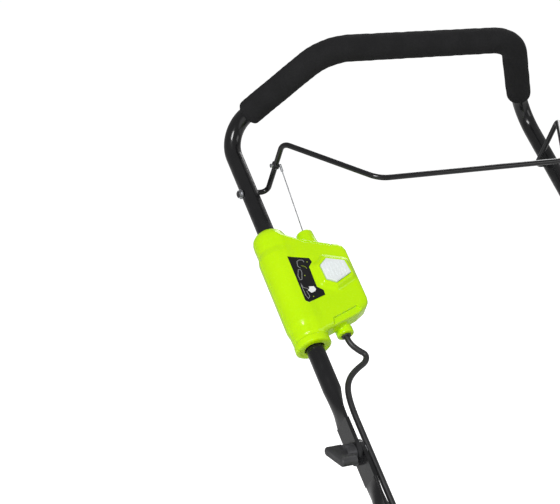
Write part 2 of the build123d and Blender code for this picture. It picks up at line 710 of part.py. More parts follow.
with BuildPart() as upper_tube:
    with BuildLine() as upper_path:
        FilletPolyline(
            on_handle(-TUBE_X, ROUND_END),
            on_handle(-TUBE_X, BEND_ABOVE),
            grip_corner(-1),
            grip_corner(1),
            on_handle(TUBE_X, BEND_ABOVE),
            on_handle(TUBE_X, ROUND_END),
            radius=[BEND_R, CORNER_R, CORNER_R, BEND_R],
        )
    with BuildSketch(tube_section(-TUBE_X, ROUND_END)):
        Circle(TUBE_R)
        Circle(TUBE_R - TUBE_WALL, mode=Mode.SUBTRACT)
    sweep(path=upper_path.wires()[0])
    for side in SIDES.values():
        with BuildSketch(tube_section(side * TUBE_X, ROUND_END)):
            Circle(TUBE_R)
        with BuildSketch(tube_section(side * UPPER_PLATE_X, FLAT_END)):
            RectangleRounded(TUBE_PLATE, PLATE_W, 2.4)
        loft()
        add(end_plate(side * UPPER_PLATE_X, -FOLD_BELOW, FLAT_END))
    # cross holes for the bail
    with BuildSketch(side_plane(-TUBE_X - 20, PIVOT_Y, PIVOT_Z)):
        Circle(ROD_R + FIT)
    extrude(amount=2 * TUBE_X + 40, mode=Mode.SUBTRACT)
save(upper_tube, "upper_tube")

GRIP_START = 43.0            # from the bend's corner, along the slope
grip_run = Vector(*GRIP_STEP).length


def grip_point(side, reach):
    """A point of the sloping grip, a distance from the bend's corner."""
    bend = on_handle(side * TUBE_X, BEND_ABOVE)
    return bend + (grip_corner(side) - bend) * (reach / grip_run)


with BuildPart() as foam_grip:
    with BuildLine() as foam_path:
        FilletPolyline(
            grip_point(-1, GRIP_START),
            grip_corner(-1),
            grip_corner(1),
            grip_point(1, GRIP_START),
            radius=CORNER_R,
        )
    with BuildSketch(Plane(grip_point(-1, GRIP_START), z_dir=grip_corner(-1) - grip_point(-1, 0))):
        Circle(FOAM_R)
        Circle(TUBE_R, mode=Mode.SUBTRACT)
    sweep(path=foam_path.wires()[0])
    end_circles = foam_grip.edges().filter_by(GeomType.CIRCLE).filter_by(lambda e: e.radius > FOAM_R - 0.1)
    fillet(end_circles.sort_by(Axis.Z)[:2], 5)
save(foam_grip, "foam_grip")

# ---------------------------------------------------------------- switch box on the right-hand tube
# In the box's frame X runs inward from the tube's axis, Y up the tube from the bail pivot,
# and Z out of the face that the operator reads.
BOX = handle_face(-TUBE_X, 0)
BOX_FACE = 22.0
BOX_BACK = 17.0
SLEEVE_SINK = 1.5            # the sleeve's axis, behind the tube's
SLEEVE_PROFILE = (
    (0, -241), (21.2, -241), (22.6, -239), (22.6, -231), (21.4, -230), (21.4, -228), (22.4, -217),
    (24, -210), (24, -108), (23, -103), (21.6, -99), (21.2, -84), (19.5, -75.5), (15.5, -70),
    (12.8, -67), (0, -67),
)
BOX_TOP_COLLAR = -67.0
BOX_BOTTOM_COLLAR = -241.0
BOX_OUTLINE = (
    (0, -79), (14, -83), (26, -90), (77, -105), (87, -115), (87, -198), (80, -205), (24, -227), (0, -231),
)
CAVITY = (
    (16, -97), (26, -99), (73, -112), (81, -122), (81, -190), (60, -196), (24, -208), (16, -208),
)
BACK_DRAFT = 26.0
LEDGE = ((28, -214.5), (65.2, -201.7), (73, -216), (24, -240))
LEDGE_Z = BOX_FACE - 2.2     # the ledge stepped down along the face's lower edge
BOSS_X = 49.5
BOSS_TOP = -73.0
BUTTON_OUTLINE = ((37, -141.3), (48, -132.6), (71.2, -138.9), (73.2, -157.4), (49.2, -168.9), (37.6, -162.6))
LABEL_OUTLINE = (
    (2, -119), (30, -125), (31.5, -131), (25, -138), (24, -168), (31, -174), (30.5, -181), (4.5, -189), (1.5, -186),
)
LABEL_T = 0.8
SCREW_PLACES = ((70, -124), (70, -184), (34, -108), (34, -200))
GLAND_X = 49.0
GLAND_Z = -3.0
GLAND_END = -228.0


def button_frustum(base, grow, top, shrink):
    """A tapered six-sided pad round the button, from one height to another."""
    with BuildPart() as pad:
        for level, spread in ((base, grow), (top, shrink)):
            with BuildSketch(BOX.offset(level)):
                Polygon(*BUTTON_OUTLINE, align=None)
                offset(amount=spread, kind=Kind.INTERSECTION)
        loft()
    return pad.part


def box_body():
    """The switch box's outer form: a round sleeve on the tube and a drafted case beside it."""
    with BuildPart() as body:
        with BuildSketch(BOX) as case_plan:
            Polygon(*BOX_OUTLINE, align=None)
            fillet(case_plan.vertices().group_by(Axis.X)[-1], 6)
        extrude(amount=BOX_FACE)
        fillet(body.faces().sort_by(Axis(BOX.origin, BOX.z_dir))[-1].edges(), 4.5)
        with BuildSketch(BOX) as back_plan:
            Polygon(*BOX_OUTLINE, align=None)
            fillet(back_plan.vertices().group_by(Axis.X)[-1], 6)
        extrude(amount=-BOX_BACK, taper=BACK_DRAFT)
        with BuildSketch(BOX.offset(-SLEEVE_SINK)):
            Polygon(*SLEEVE_PROFILE, align=None)
        revolve(axis=Axis(BOX.offset(-SLEEVE_SINK).origin, BOX.y_dir))
        # wire boss on the upper edge
        with BuildSketch(tube_section(-TUBE_X + BOSS_X, -114)):
            Circle(13.8)
        extrude(amount=114 + BOSS_TOP, taper=4)
        # cable stub on the lower edge
        with BuildSketch(tube_section(-TUBE_X + GLAND_X, GLAND_END, GLAND_Z)):
            Circle(10.9)
        extrude(amount=30)
        add(button_frustum(BOX_FACE - 3, 9, BOX_FACE + 5.5, 3.5))
        with BuildSketch(BOX.offset(LEDGE_Z)):
            Polygon(*LEDGE, align=None)
        extrude(amount=BOX_FACE, mode=Mode.SUBTRACT)
    return body.part


BOX_FORM = box_body()

for half, keep, seam in (("front", Keep.TOP, 0.15), ("rear", Keep.BOTTOM, -0.15)):
    with BuildPart() as box_shell:
        add(BOX_FORM)
        with BuildSketch(BOX.offset(-BOX_BACK + 4)):
            Polygon(*CAVITY, align=None)
        extrude(amount=BOX_BACK + BOX_FACE - 7, mode=Mode.SUBTRACT)
        # tube bore, wire bore and cable bore
        with BuildSketch(tube_section(-TUBE_X, BOX_BOTTOM_COLLAR - 1)):
            Circle(TUBE_R + 0.2)
        extrude(amount=BOX_TOP_COLLAR - BOX_BOTTOM_COLLAR + 2, mode=Mode.SUBTRACT)
        with BuildSketch(tube_section(-TUBE_X + BOSS_X, -112)):
            Circle(6.5)
        extrude(amount=60, mode=Mode.SUBTRACT)
        with BuildSketch(tube_section(-TUBE_X + GLAND_X, GLAND_END - 5, GLAND_Z)):
            Circle(6)
        extrude(amount=40, mode=Mode.SUBTRACT)
        if half == "front":
            with BuildSketch(BOX.offset(BOX_FACE - 12)):
                Polygon(*BUTTON_OUTLINE, align=None)
                offset(amount=0.3)
            extrude(amount=30, mode=Mode.SUBTRACT)
            with BuildSketch(BOX.offset(BOX_FACE - LABEL_T)):
                Polygon(*LABEL_OUTLINE, align=None)
            extrude(amount=LABEL_T + 1, mode=Mode.SUBTRACT)
        else:
            with BuildSketch(BOX.offset(-BOX_BACK)):
                with Locations(*SCREW_PLACES):
                    Circle(3.2)
            extrude(amount=2, mode=Mode.SUBTRACT)
        split(bisect_by=BOX.offset(seam), keep=keep)
    save(box_shell, f"box_{half}_shell")

with BuildPart() as label_plate:
    with BuildSketch(BOX.offset(BOX_FACE - LABEL_T)):
        Polygon(*LABEL_OUTLINE, align=None)
        offset(amount=-0.15)
    extrude(amount=LABEL_T)
save(label_plate, "label_plate")

with BuildPart() as box_screws:
    with BuildSketch(BOX.offset(-BOX_BACK + 0.4)):
        with Locations(*SCREW_PLACES):
            Circle(3)
    extrude(amount=1.6)
save(box_screws, "box_screws")

with BuildPart() as hex_button:
    with BuildSketch(BOX.offset(BOX_FACE - 7)):
        Polygon(*BUTTON_OUTLINE, align=None)
    extrude(amount=15)
    chamfer(hex_button.faces().sort_by(Axis(BOX.origin, BOX.z_dir))[-1].edges(), 1.2)
    # grip ridges along the cap
    with BuildSketch(BOX.offset(BOX_FACE + 8)):
        with Locations((55.5, -150)):
            with GridLocations(4.6, 1, 6, 1):
                SlotOverall(21, 1.8, rotation=90)
    extrude(amount=0.8)
save(hex_button, "hex_button")

with BuildPart() as cable_gland:
    with BuildSketch(tube_section(-TUBE_X + GLAND_X, GLAND_END - 2, GLAND_Z)):
        Circle(5.9)
    extrude(amount=12)
save(cable_gland, "cable_gland")

with BuildPart() as micro_switch:
    with BuildSketch(BOX.offset(-8)):
        with Locations((BOSS_X, -184)):
            RectangleRounded(30, 20, 1.5)
    extrude(amount=14)
    with BuildSketch(BOX.offset(-2)):
        with Locations((BOSS_X, -172.6)):
            Rectangle(5, 3.2)
    extrude(amount=4)
save(micro_switch, "micro_switch")

SLIDER_TOP = BOSS_TOP - 5
SLIDER_FOOT = -170.0
WIRE_PIVOT = on_handle(0, SLIDER_TOP + 2.6)
PIN_R = 0.8


def on_section(along):
    """A step along the tube, as seen in a side plane."""
    return (along * COS_A, along * SIN_A)


with BuildPart() as switch_slider:
    with BuildSketch(tube_section(-TUBE_X + BOSS_X, SLIDER_FOOT)):
        Circle(2.5)
    extrude(amount=SLIDER_TOP - SLIDER_FOOT)
    with BuildSketch(tube_section(-TUBE_X + BOSS_X, SLIDER_FOOT)):
        Circle(6)
    extrude(amount=3)
    # fork that holds the wire's cross pin
    for cheek_x in (BOSS_X - 2.6, BOSS_X + 1.6):
        with BuildSketch(side_plane(-TUBE_X + cheek_x, WIRE_PIVOT.Y, WIRE_PIVOT.Z)):
            Circle(2.1)
            with Locations(on_section(-1.6)):
                Rectangle(4.2, 3.2, rotation=HANDLE_ANGLE - 90)
            Circle(PIN_R + FIT, mode=Mode.SUBTRACT)
        extrude(amount=1)
save(switch_slider, "switch_slider")

# ---------------------------------------------------------------- bail and pull wire
def bail_point(side, inward, forward, up):
    """A point of the bail, measured from the bail pivot on one tube."""
    return Vector(side * (TUBE_X - inward), PIVOT_Y + forward, PIVOT_Z + up)


corner_y, corner_z = BAIL_CORNER
leg_length = hypot(corner_y, corner_z)
eye_y = corner_y * EYE_REACH / leg_length
eye_z = corner_z * EYE_REACH / leg_length
BAIL_END = (BAIL_LEG_X + BAIL_STEP[0], corner_y + BAIL_STEP[1], corner_z + BAIL_STEP[2])
PIN_PAST_TUBE = 17.0

with BuildPart() as bail:
    with BuildLine() as bail_path:
        FilletPolyline(
            bail_point(-1, -PIN_PAST_TUBE, 0, 0),
            bail_point(-1, BAIL_LEG_X, 0, 0),
            bail_point(-1, BAIL_LEG_X, corner_y, corner_z),
            bail_point(-1, *BAIL_END),
            bail_point(1, *BAIL_END),
            bail_point(1, BAIL_LEG_X, corner_y, corner_z),
            bail_point(1, BAIL_LEG_X, 0, 0),
            bail_point(1, -PIN_PAST_TUBE, 0, 0),
            radius=[9, 13, 24, 24, 13, 9],
        )
    with BuildSketch(side_plane(-TUBE_X - PIN_PAST_TUBE, PIVOT_Y, PIVOT_Z)):
        Circle(ROD_R)
    sweep(path=bail_path.wires()[0])
    # flattened eye that takes the wire's hook
    eye_x = -TUBE_X + BAIL_LEG_X
    with BuildSketch(side_plane(eye_x - 2.5, PIVOT_Y + eye_y, PIVOT_Z + eye_z)):
        Circle(5.5)
    extrude(amount=5)
    with BuildSketch(side_plane(eye_x - 10, PIVOT_Y + eye_y, PIVOT_Z + eye_z)):
        Circle(1.3)
    extrude(amount=20, mode=Mode.SUBTRACT)
save(bail, "bail")

with BuildPart() as bail_caps:
    for side in SIDES.values():
        cap_face = side * (TUBE_X + TUBE_R + 0.5)
        with BuildSketch(side_plane(cap_face, PIVOT_Y, PIVOT_Z)):
            Circle(6.5)
            Circle(ROD_R + FIT, mode=Mode.SUBTRACT)
        extrude(amount=side * 1.4)
        with BuildSketch(side_plane(cap_face + side * 1.4, PIVOT_Y, PIVOT_Z)):
            Circle(5)
            Circle(ROD_R + FIT, mode=Mode.SUBTRACT)
        extrude(amount=side * 3)
save(bail_caps, "bail_caps")

with BuildPart() as wire_hook:
    with BuildSketch(side_plane(eye_x - 6, PIVOT_Y + eye_y, PIVOT_Z + eye_z)):
        Circle(1.1)
    extrude(amount=10)
    with BuildSketch(side_plane(eye_x - 7.2, PIVOT_Y + eye_y, PIVOT_Z + eye_z)):
        Circle(2.6)
    extrude(amount=1.6)
save(wire_hook, "wire_hook")

WIRE_R = 0.8
wire_foot = WIRE_PIVOT + Vector(-TUBE_X + BOSS_X, 0, 0)
wire_head = Vector(eye_x + 6.2, PIVOT_Y + eye_y, PIVOT_Z + eye_z)
wire_run = wire_head - wire_foot
with BuildPart() as pull_wire:
    with BuildSketch(Plane(wire_foot, z_dir=wire_run)):
        Circle(WIRE_R)
    extrude(amount=wire_run.length)
    with BuildSketch(Plane(wire_head - wire_run.normalized() * 9, z_dir=wire_run)):
        Circle(1.7)
    extrude(amount=10)
    # cross pin in the slider's fork
    with BuildSketch(side_plane(wire_foot.X - 2.7, wire_foot.Y, wire_foot.Z)):
        Circle(PIN_R)
    extrude(amount=5.4)
save(pull_wire, "pull_wire")

# ---------------------------------------------------------------- control cable
def clipped_cable(points):
    """A cable's tube through its points: straight runs joined by arcs as large as the runs allow."""
    radii = []
    for before, here, after in zip(points, points[1:], points[2:]):
        run_in = here - before
        run_out = after - here
        half_turn = radians(run_in.get_angle(run_out)) / 2
        radii.append(0.45 * min(run_in.length, run_out.length) / tan(half_turn))
    with BuildPart() as tube:
        with BuildLine() as path:
            if radii:
                FilletPolyline(*points, radius=radii)
            else:
                Line(*points)
        with BuildSketch(Plane(points[0], z_dir=points[1] - points[0])):
            Circle(CABLE_R)
        sweep(path=path.wires()[0])
    return tube


def box_point(inward, along, out):
    """A point in the switch box's frame."""
    return on_handle(-TUBE_X + inward, along, out)


BESIDE_TUBE = TUBE_R + CABLE_R + 0.35
LOWER_RUN = TUBE_X - LOWER_X + BESIDE_TUBE + 3
cable_upper = clipped_cable([
    box_point(GLAND_X, GLAND_END - 2, GLAND_Z),
    box_point(GLAND_X, -239, GLAND_Z),
    box_point(57, -250, -4),
    box_point(66, -257, -5),
    box_point(61, -267, -5),
    box_point(47, -274, -4),
    box_point(32, -284, -3),
    box_point(21, -299, -2),
    box_point(BESIDE_TUBE, -325, 0),
    box_point(BESIDE_TUBE, -348, 0),
])
save(cable_upper, "cable_upper")

cable_fold_span = clipped_cable([
    box_point(BESIDE_TUBE, -348, 0),
    box_point(BESIDE_TUBE, -424, 0),
])
save(cable_fold_span, "cable_fold_span")

cable_lower = clipped_cable([
    box_point(BESIDE_TUBE, -424, 0),
    box_point(BESIDE_TUBE, -520, 0),
    box_point(BESIDE_TUBE + 2, -618, 0),
    box_point(LOWER_RUN, -748, 0),
    box_point(LOWER_RUN, -780, 0),
])
save(cable_lower, "cable_lower")

cable_deck_span = clipped_cable([
    box_point(LOWER_RUN, -780, 0),
    box_point(LOWER_RUN, -803, 0),
    Vector(-134, BLADE_Y + 238, 268),
    Vector(-116, BLADE_Y + 205, 262),
    Vector(-102, BLADE_Y + 178, 241),
    Vector(-94, BLADE_Y + 158, 217),
    Vector(-92, BLADE_Y + 139, 204),
])
save(cable_deck_span, "cable_deck_span")
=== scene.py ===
import json
from math import cos, pi, radians, sin

import bpy
import numpy as np
from mathutils import Matrix, Vector


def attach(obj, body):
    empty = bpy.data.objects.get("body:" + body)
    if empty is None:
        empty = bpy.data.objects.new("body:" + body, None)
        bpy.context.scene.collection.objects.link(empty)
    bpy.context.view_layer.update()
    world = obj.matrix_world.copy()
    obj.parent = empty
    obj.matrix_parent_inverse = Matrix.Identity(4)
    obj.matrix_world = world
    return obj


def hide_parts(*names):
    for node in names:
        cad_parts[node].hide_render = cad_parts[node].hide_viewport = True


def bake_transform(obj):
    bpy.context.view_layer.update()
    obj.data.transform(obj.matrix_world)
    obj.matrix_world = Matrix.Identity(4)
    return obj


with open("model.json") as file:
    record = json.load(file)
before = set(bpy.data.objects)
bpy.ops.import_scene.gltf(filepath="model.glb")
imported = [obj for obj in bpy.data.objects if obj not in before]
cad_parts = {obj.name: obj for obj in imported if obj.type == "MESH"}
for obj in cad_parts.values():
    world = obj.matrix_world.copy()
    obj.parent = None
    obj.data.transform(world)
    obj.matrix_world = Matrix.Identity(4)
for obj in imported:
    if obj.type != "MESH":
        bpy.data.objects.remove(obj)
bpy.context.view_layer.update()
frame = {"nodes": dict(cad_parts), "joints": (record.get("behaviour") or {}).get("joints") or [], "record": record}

# Cordless push lawn mower, in metres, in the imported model's frame:
# +Z up, the mower's front faces -Y, +X is the operator's left.

# ---------------------------------------------------------------- places read from the frame
JOINTS = {joint["name"]: joint for joint in frame["joints"]}
PIVOT = Vector(JOINTS["bail_squeeze"]["pos_m"])
UP_TUBE = Vector(JOINTS["switch_slide"]["axis"]).normalized()
OUT_OF_FACE = Vector((0, -UP_TUBE.z, UP_TUBE.y))
TUBE_X = 0.235
MM = 0.001


def handle_point(x, along, out=0.0):
    """A point of the handle: along is up the tube from the bail pivot, out is square to both tubes."""
    return Vector((x, PIVOT.y, PIVOT.z)) + UP_TUBE * along + OUT_OF_FACE * out


def box_point(inward, along, out):
    """A point in the switch box's frame, given in millimetres as in the CAD source."""
    return handle_point(-TUBE_X + inward * MM, along * MM, out * MM)


# ---------------------------------------------------------------- camera
AZIMUTH = radians(25.85)         # round from straight ahead of the mower, to its right
ELEVATION = radians(14.14)
DISTANCE = 1.850                 # along the view, to the right-hand bail pivot
PIVOT_IN_VIEW = (-0.0389, 0.0752)    # that pivot, right of and above the picture's centre
LENS = 92.8
SENSOR = 36.0


def make_camera():
    toward = Vector((-sin(AZIMUTH) * cos(ELEVATION), -cos(AZIMUTH) * cos(ELEVATION), sin(ELEVATION)))
    across = (-toward).cross(Vector((0, 0, 1))).normalized()
    upward = across.cross(-toward).normalized()
    data = bpy.data.cameras.new("camera")
    data.lens = LENS
    data.sensor_width = SENSOR
    data.clip_end = 100
    camera = bpy.data.objects.new("camera", data)
    bpy.context.scene.collection.objects.link(camera)
    right_pivot = handle_point(-TUBE_X, 0)
    place = right_pivot - across * PIVOT_IN_VIEW[0] - upward * PIVOT_IN_VIEW[1] + toward * DISTANCE
    camera.matrix_world = Matrix.Translation(place) @ Matrix((across, upward, toward)).transposed().to_4x4()
    bpy.context.scene.camera = camera


# ---------------------------------------------------------------- materials
class Recipe:
    """A Principled material under construction, with object coordinates in metres."""

    def __init__(self, name, color, roughness, metallic=0.0):
        self.material = bpy.data.materials.new(name)
        self.material.use_nodes = True
        self.tree = self.material.node_tree
        self.shader = self.tree.nodes["Principled BSDF"]
        self.shader.inputs["Base Color"].default_value = (*color, 1)
        self.shader.inputs["Roughness"].default_value = roughness
        self.shader.inputs["Metallic"].default_value = metallic
        self.color = color
        self.height = None
        self.place = self.tree.nodes.new("ShaderNodeTexCoord").outputs["Object"]

    def node(self, kind, **settings):
        made = self.tree.nodes.new(kind)
        for key, value in settings.items():
            setattr(made, key, value)
        return made

    def link(self, source, target):
        self.tree.links.new(source, target)

    def noise(self, scale, detail=3.0):
        texture = self.node("ShaderNodeTexNoise")
        texture.inputs["Scale"].default_value = scale
        texture.inputs["Detail"].default_value = detail
        self.link(self.place, texture.inputs["Vector"])
        return texture.outputs["Fac"]

    def cells(self, scale, feature="F1"):
        texture = self.node("ShaderNodeTexVoronoi", feature=feature)
        texture.inputs["Scale"].default_value = scale
        self.link(self.place, texture.inputs["Vector"])
        return texture.outputs["Distance"]

    def ramp(self, source, low, high, start=0.3, stop=0.7):
        """The source mapped smoothly from start..stop to low..high."""
        mapped = self.node("ShaderNodeMapRange", interpolation_type="SMOOTHSTEP")
        mapped.inputs["From Min"].default_value = start
        mapped.inputs["From Max"].default_value = stop
        mapped.inputs["To Min"].default_value = low
        mapped.inputs["To Max"].default_value = high
        self.link(source, mapped.inputs["Value"])
        return mapped.outputs["Result"]

    def mix_color(self, factor, other):
        """Blend the base colour towards another by a factor."""
        blend = self.node("ShaderNodeMix", data_type="RGBA")
        target = self.shader.inputs["Base Color"]
        if target.is_linked:
            self.link(target.links[0].from_socket, blend.inputs["A"])
        else:
            blend.inputs["A"].default_value = (*self.color, 1)
        blend.inputs["B"].default_value = (*other, 1)
        self.link(factor, blend.inputs["Factor"])
        self.link(blend.outputs["Result"], target)

    def vary_roughness(self, factor, low, high, start=0.3, stop=0.7):
        self.link(self.ramp(factor, low, high, start, stop), self.shader.inputs["Roughness"])

    def bump(self, height, strength, depth):
        """Add one layer of surface relief, depth in metres."""
        relief = self.node("ShaderNodeBump")
        relief.inputs["Strength"].default_value = strength
        relief.inputs["Distance"].default_value = depth
        self.link(height, relief.inputs["Height"])
        if self.height is not None:
            self.link(self.height, relief.inputs["Normal"])
        self.height = relief.outputs["Normal"]
        self.link(self.height, self.shader.inputs["Normal"])

    def worn_edges(self, color, amount=0.5):
        """Lighter, scuffed convex edges."""
        geometry = self.node("ShaderNodeNewGeometry")
        edge = self.ramp(geometry.outputs["Pointiness"], 0.0, 1.0, 0.53, 0.62)
        broken = self.node("ShaderNodeMath", operation="MULTIPLY")
        self.link(edge, broken.inputs[0])
        self.link(self.ramp(self.noise(90, 4), 0.0, amount, 0.4, 0.65), broken.inputs[1])
        self.mix_color(broken.outputs["Value"], color)


LIME = (0.50, 0.83, 0.0)
LIME_LIGHT = (0.60, 0.90, 0.0)


def lime_plastic():
    recipe = Recipe("lime_plastic", LIME, 0.3)
    recipe.shader.inputs["Coat Weight"].default_value = 0.3
    recipe.shader.inputs["Coat Roughness"].default_value = 0.045
    recipe.shader.inputs["Specular IOR Level"].default_value = 0.12
    recipe.shader.inputs["Subsurface Weight"].default_value = 0.06
    recipe.shader.inputs["Subsurface Radius"].default_value = (0.004, 0.006, 0.001)
    recipe.mix_color(recipe.ramp(recipe.noise(14, 2), 0.0, 0.35), LIME_LIGHT)
    recipe.vary_roughness(recipe.noise(220, 3), 0.20, 0.30)
    recipe.bump(recipe.noise(900, 2), 0.05, 0.0002)
    return recipe.material


def black_paint():
    recipe = Recipe("black_paint", (0.0075, 0.0075, 0.0082), 0.24)
    recipe.shader.inputs["Coat Weight"].default_value = 0.35
    recipe.shader.inputs["Coat Roughness"].default_value = 0.06
    recipe.shader.inputs["Specular IOR Level"].default_value = 0.25
    recipe.mix_color(recipe.ramp(recipe.noise(30, 3), 0.0, 0.5), (0.011, 0.011, 0.012))
    recipe.worn_edges((0.06, 0.06, 0.064), 0.3)
    recipe.vary_roughness(recipe.noise(60, 4), 0.17, 0.30)
    recipe.bump(recipe.noise(520, 2), 0.12, 0.0003)
    return recipe.material


def foam():
    recipe = Recipe("foam", (0.0125, 0.0125, 0.0132), 0.95)
    recipe.shader.inputs["Specular IOR Level"].default_value = 0.15
    recipe.mix_color(recipe.ramp(recipe.cells(900), 0.0, 0.8, 0.1, 0.6), (0.020, 0.020, 0.021))
    recipe.mix_color(recipe.ramp(recipe.noise(40, 4), 0.0, 0.4), (0.010, 0.010, 0.0105))
    recipe.bump(recipe.cells(1100), 0.45, 0.0005)
    recipe.bump(recipe.noise(160, 4), 0.25, 0.0006)
    return recipe.material


def moulded_black():
    recipe = Recipe("black_plastic", (0.026, 0.026, 0.028), 0.48)
    recipe.mix_color(recipe.ramp(recipe.noise(25, 4), 0.0, 0.6), (0.039, 0.039, 0.042))
    recipe.worn_edges((0.104, 0.104, 0.112), 0.5)
    recipe.vary_roughness(recipe.noise(90, 4), 0.38, 0.6)
    recipe.bump(recipe.cells(1300), 0.3, 0.0003)
    return recipe.material


def deck_plastic():
    recipe = Recipe("deck_plastic", (0.034, 0.035, 0.037), 0.36)
    recipe.shader.inputs["Coat Weight"].default_value = 0.15
    recipe.shader.inputs["Coat Roughness"].default_value = 0.2
    recipe.mix_color(recipe.ramp(recipe.noise(9, 5), 0.0, 0.6), (0.05, 0.051, 0.053))
    recipe.worn_edges((0.14, 0.14, 0.145), 0.5)
    recipe.vary_roughness(recipe.noise(50, 5), 0.28, 0.5)
    recipe.bump(recipe.noise(700, 3), 0.2, 0.0004)
    return recipe.material


def steel():
    recipe = Recipe("steel", (0.52, 0.53, 0.55), 0.3, 1.0)
    recipe.mix_color(recipe.ramp(recipe.noise(35, 5), 0.0, 0.7), (0.3744, 0.3816, 0.396))
    recipe.vary_roughness(recipe.noise(240, 4), 0.2, 0.46)
    recipe.bump(recipe.noise(500, 3), 0.12, 0.0002)
    return recipe.material


def cast_alloy():
    recipe = Recipe("cast_alloy", (0.46, 0.47, 0.48), 0.55, 0.9)
    recipe.mix_color(recipe.ramp(recipe.noise(60, 6), 0.0, 0.8), (0.33, 0.34, 0.35))
    recipe.bump(recipe.noise(420, 5), 0.4, 0.0006)
    return recipe.material


def circuit_board():
    recipe = Recipe("circuit_board", (0.014, 0.10, 0.035), 0.35)
    copper_tracks = recipe.ramp(recipe.cells(120, "DISTANCE_TO_EDGE"), 0.7, 0.0, 0.0, 0.03)
    recipe.mix_color(copper_tracks, (0.35, 0.24, 0.07))
    recipe.bump(recipe.noise(200, 2), 0.1, 0.0003)
    return recipe.material


def tyre_rubber():
    recipe = Recipe("tyre_rubber", (0.022, 0.022, 0.022), 0.8)
    recipe.mix_color(recipe.ramp(recipe.noise(28, 6), 0.0, 0.8), (0.05, 0.048, 0.045))
    recipe.worn_edges((0.10, 0.095, 0.09), 0.7)
    recipe.vary_roughness(recipe.noise(120, 4), 0.68, 0.9)
    recipe.bump(recipe.noise(520, 5), 0.35, 0.0006)
    return recipe.material


def wheel_plastic():
    recipe = Recipe("wheel_plastic", (0.095, 0.097, 0.10), 0.42)
    recipe.mix_color(recipe.ramp(recipe.noise(40, 4), 0.0, 0.6), (0.14, 0.142, 0.146))
    recipe.worn_edges((0.3, 0.3, 0.31), 0.5)
    recipe.bump(recipe.cells(1000), 0.25, 0.0003)
    return recipe.material


def bag_cloth():
    recipe = Recipe("bag_cloth", (0.026, 0.027, 0.029), 0.88)
    recipe.shader.inputs["Sheen Weight"].default_value = 0.3
    recipe.shader.inputs["Sheen Roughness"].default_value = 0.4
    threads = []
    for direction in ("X", "Y", "Z"):
        wave = recipe.node("ShaderNodeTexWave", bands_direction=direction, wave_profile="SIN")
        wave.inputs["Scale"].default_value = 260
        wave.inputs["Distortion"].default_value = 0.6
        recipe.link(recipe.place, wave.inputs["Vector"])
        threads.append(wave.outputs["Fac"])
    weave = recipe.node("ShaderNodeMath", operation="MULTIPLY")
    recipe.link(threads[0], weave.inputs[0])
    recipe.link(threads[1], weave.inputs[1])
    weave_all = recipe.node("ShaderNodeMath", operation="MAXIMUM")
    recipe.link(weave.outputs["Value"], weave_all.inputs[0])
    recipe.link(threads[2], weave_all.inputs[1])
    recipe.mix_color(recipe.ramp(weave_all.outputs["Value"], 0.0, 0.6, 0.2, 0.9), (0.05, 0.051, 0.054))
    recipe.mix_color(recipe.ramp(recipe.noise(11, 5), 0.0, 0.5), (0.018, 0.018, 0.019))
    recipe.bump(weave_all.outputs["Value"], 0.5, 0.0006)
    recipe.bump(recipe.noise(18, 4), 0.3, 0.004)
    return recipe.material


def label_film():
    recipe = Recipe("label_film", (0.009, 0.009, 0.0095), 0.35)
    recipe.shader.inputs["Coat Weight"].default_value = 0.05
    recipe.shader.inputs["Specular IOR Level"].default_value = 0.2
    recipe.mix_color(recipe.ramp(recipe.noise(70, 3), 0.0, 0.6), (0.014, 0.014, 0.0145))
    recipe.bump(recipe.noise(500, 2), 0.06, 0.0002)
    return recipe.material


def button_plastic():
    recipe = Recipe("button_plastic", (0.80, 0.84, 0.84), 0.38)
    recipe.shader.inputs["Subsurface Weight"].default_value = 0.08
    recipe.shader.inputs["Subsurface Radius"].default_value = (0.004, 0.004, 0.004)
    recipe.mix_color(recipe.ramp(recipe.noise(60, 4), 0.0, 0.5), (0.74, 0.78, 0.78))
    recipe.vary_roughness(recipe.noise(180, 3), 0.32, 0.45)
    recipe.bump(recipe.cells(1500), 0.12, 0.0002)
    return recipe.material


def cable_sheath():
    recipe = Recipe("cable_sheath", (0.014, 0.014, 0.015), 0.42)
    recipe.mix_color(recipe.ramp(recipe.noise(50, 4), 0.0, 0.6), (0.028, 0.028, 0.029))
    recipe.vary_roughness(recipe.noise(150, 4), 0.34, 0.55)
    recipe.bump(recipe.noise(700, 3), 0.2, 0.0003)
    return recipe.material


def print_ink(name, color):
    recipe = Recipe(name, color, 0.4)
    recipe.mix_color(recipe.ramp(recipe.noise(400, 3), 0.0, 0.3), tuple(c * 0.75 for c in color))
    return recipe.material


MATERIALS = {
    "lime_plastic": lime_plastic(),
    "black_paint": black_paint(),
    "foam": foam(),
    "black_plastic": moulded_black(),
    "deck_plastic": deck_plastic(),
    "steel": steel(),
    "cast_alloy": cast_alloy(),
    "circuit_board": circuit_board(),
    "tyre_rubber": tyre_rubber(),
    "wheel_plastic": wheel_plastic(),
    "bag_cloth": bag_cloth(),
    "label_film": label_film(),
    "button_plastic": button_plastic(),
    "cable_sheath": cable_sheath(),
}
MATERIALS["cover_plastic"] = MATERIALS["lime_plastic"]
PRINT_WHITE = print_ink("print_white", (0.85, 0.86, 0.85))
PRINT_GREY = print_ink("print_grey", (0.34, 0.35, 0.35))
PRINT_GREEN = print_ink("print_green", (0.42, 0.55, 0.02))


def dress_cad_nodes():
    """Give every carried-over CAD node the material of its own slot."""
    slots = {part["node"]: part["material_slot"] for part in frame["record"]["subparts"]}
    for name, node in frame["nodes"].items():
        node.data.materials.clear()
        node.data.materials.append(MATERIALS[slots[name]])


